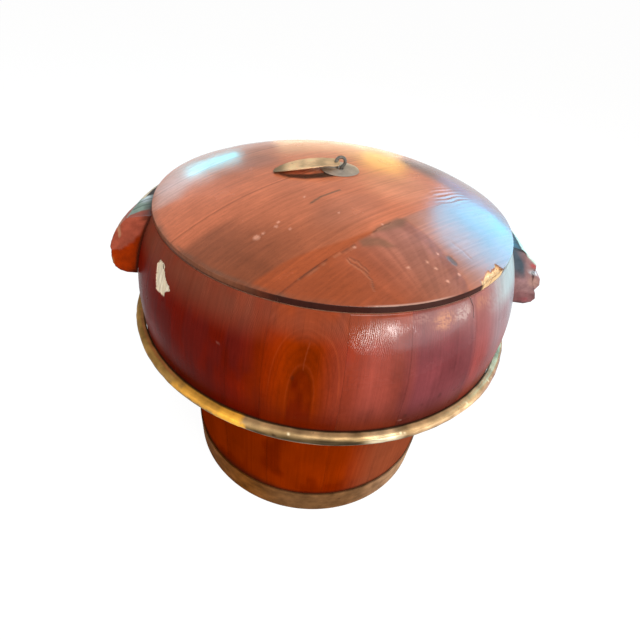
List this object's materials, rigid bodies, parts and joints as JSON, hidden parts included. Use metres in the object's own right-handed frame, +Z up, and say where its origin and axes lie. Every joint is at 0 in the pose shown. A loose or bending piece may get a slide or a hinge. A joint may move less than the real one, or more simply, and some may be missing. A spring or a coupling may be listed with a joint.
{
  "type": "footed rice bucket",
  "caption": "Footed coopered wooden bucket with a swelling lacquered belly, brass hoops, carved lug handles and a domed lift-off plank lid with a brass leaf pull.",
  "frame": {"origin": "centre of the foot's base, on the surface that the bucket stands on", "axes": "+Z up the bucket's axis, +X towards the right handle, -Y towards the front"},
  "size_m": [0.3612, 0.3526, 0.3211],
  "materials": {
    "belly_lacquer": "glossy worn red-brown lacquer over upright grain",
    "foot_lacquer": "glossy orange-red lacquer over upright grain",
    "lid_lacquer": "glossy orange-brown lacquer over skewed planks, scratched",
    "bare_wood": "unlacquered, dull",
    "painted_carving": "carved wood painted grey-green, red and orange-brown",
    "hoop_brass": "aged brass, rubbed bright",
    "pull_brass": "dull pale brass"
  },
  "bodies": {
    "bucket": {"belly_stave_01": "belly_lacquer", "belly_stave_02": "belly_lacquer", "belly_stave_03": "belly_lacquer", "belly_stave_04": "belly_lacquer", "belly_stave_05": "belly_lacquer", "belly_stave_06": "belly_lacquer", "belly_stave_07": "belly_lacquer", "belly_stave_08": "belly_lacquer", "belly_stave_09": "belly_lacquer", "belly_stave_10": "belly_lacquer", "belly_stave_11": "belly_lacquer", "belly_stave_12": "belly_lacquer", "belly_stave_13": "belly_lacquer", "belly_stave_14": "belly_lacquer", "belly_stave_15": "belly_lacquer", "belly_stave_16": "belly_lacquer", "belly_stave_17": "belly_lacquer", "belly_stave_18": "belly_lacquer", "belly_stave_19": "belly_lacquer", "belly_stave_20": "belly_lacquer", "belly_stave_21": "belly_lacquer", "foot_stave_01": "foot_lacquer", "foot_stave_02": "foot_lacquer", "foot_stave_03": "foot_lacquer", "foot_stave_04": "foot_lacquer", "foot_stave_05": "foot_lacquer", "foot_stave_06": "foot_lacquer", "foot_stave_07": "foot_lacquer", "foot_stave_08": "foot_lacquer", "foot_stave_09": "foot_lacquer", "foot_stave_10": "foot_lacquer", "foot_stave_11": "foot_lacquer", "foot_stave_12": "foot_lacquer", "foot_stave_13": "foot_lacquer", "foot_stave_14": "foot_lacquer", "foot_stave_15": "foot_lacquer", "floor_board_1": "bare_wood", "floor_board_2": "bare_wood", "floor_board_3": "bare_wood", "waist_hoop": "hoop_brass", "foot_hoop": "hoop_brass", "handle_left": "painted_carving", "handle_right": "painted_carving", "handle_left_peg_1": "bare_wood", "handle_left_peg_2": "bare_wood", "handle_right_peg_1": "bare_wood", "handle_right_peg_2": "bare_wood"},
    "lid": {"lid_board_1": "lid_lacquer", "lid_board_2": "lid_lacquer", "lid_board_3": "lid_lacquer", "lid_board_4": "lid_lacquer", "lid_batten_1": "bare_wood", "lid_batten_2": "bare_wood", "pull_escutcheon": "pull_brass", "split_pin": "pull_brass"},
    "pull": {"leaf_pull": "pull_brass"}
  },
  "joints": [
    {"name": "lid_lift", "type": "slide", "parent": "bucket", "child": "lid", "axis": [0, 0, 1], "range_m": [0, 0.15]},
    {"name": "pull_swing", "type": "hinge", "parent": "lid", "child": "pull", "pos_m": [0, 0, 0.316], "axis": [-0.1392, 0.9903, 0], "range_deg": [0, 164]}
  ]
}
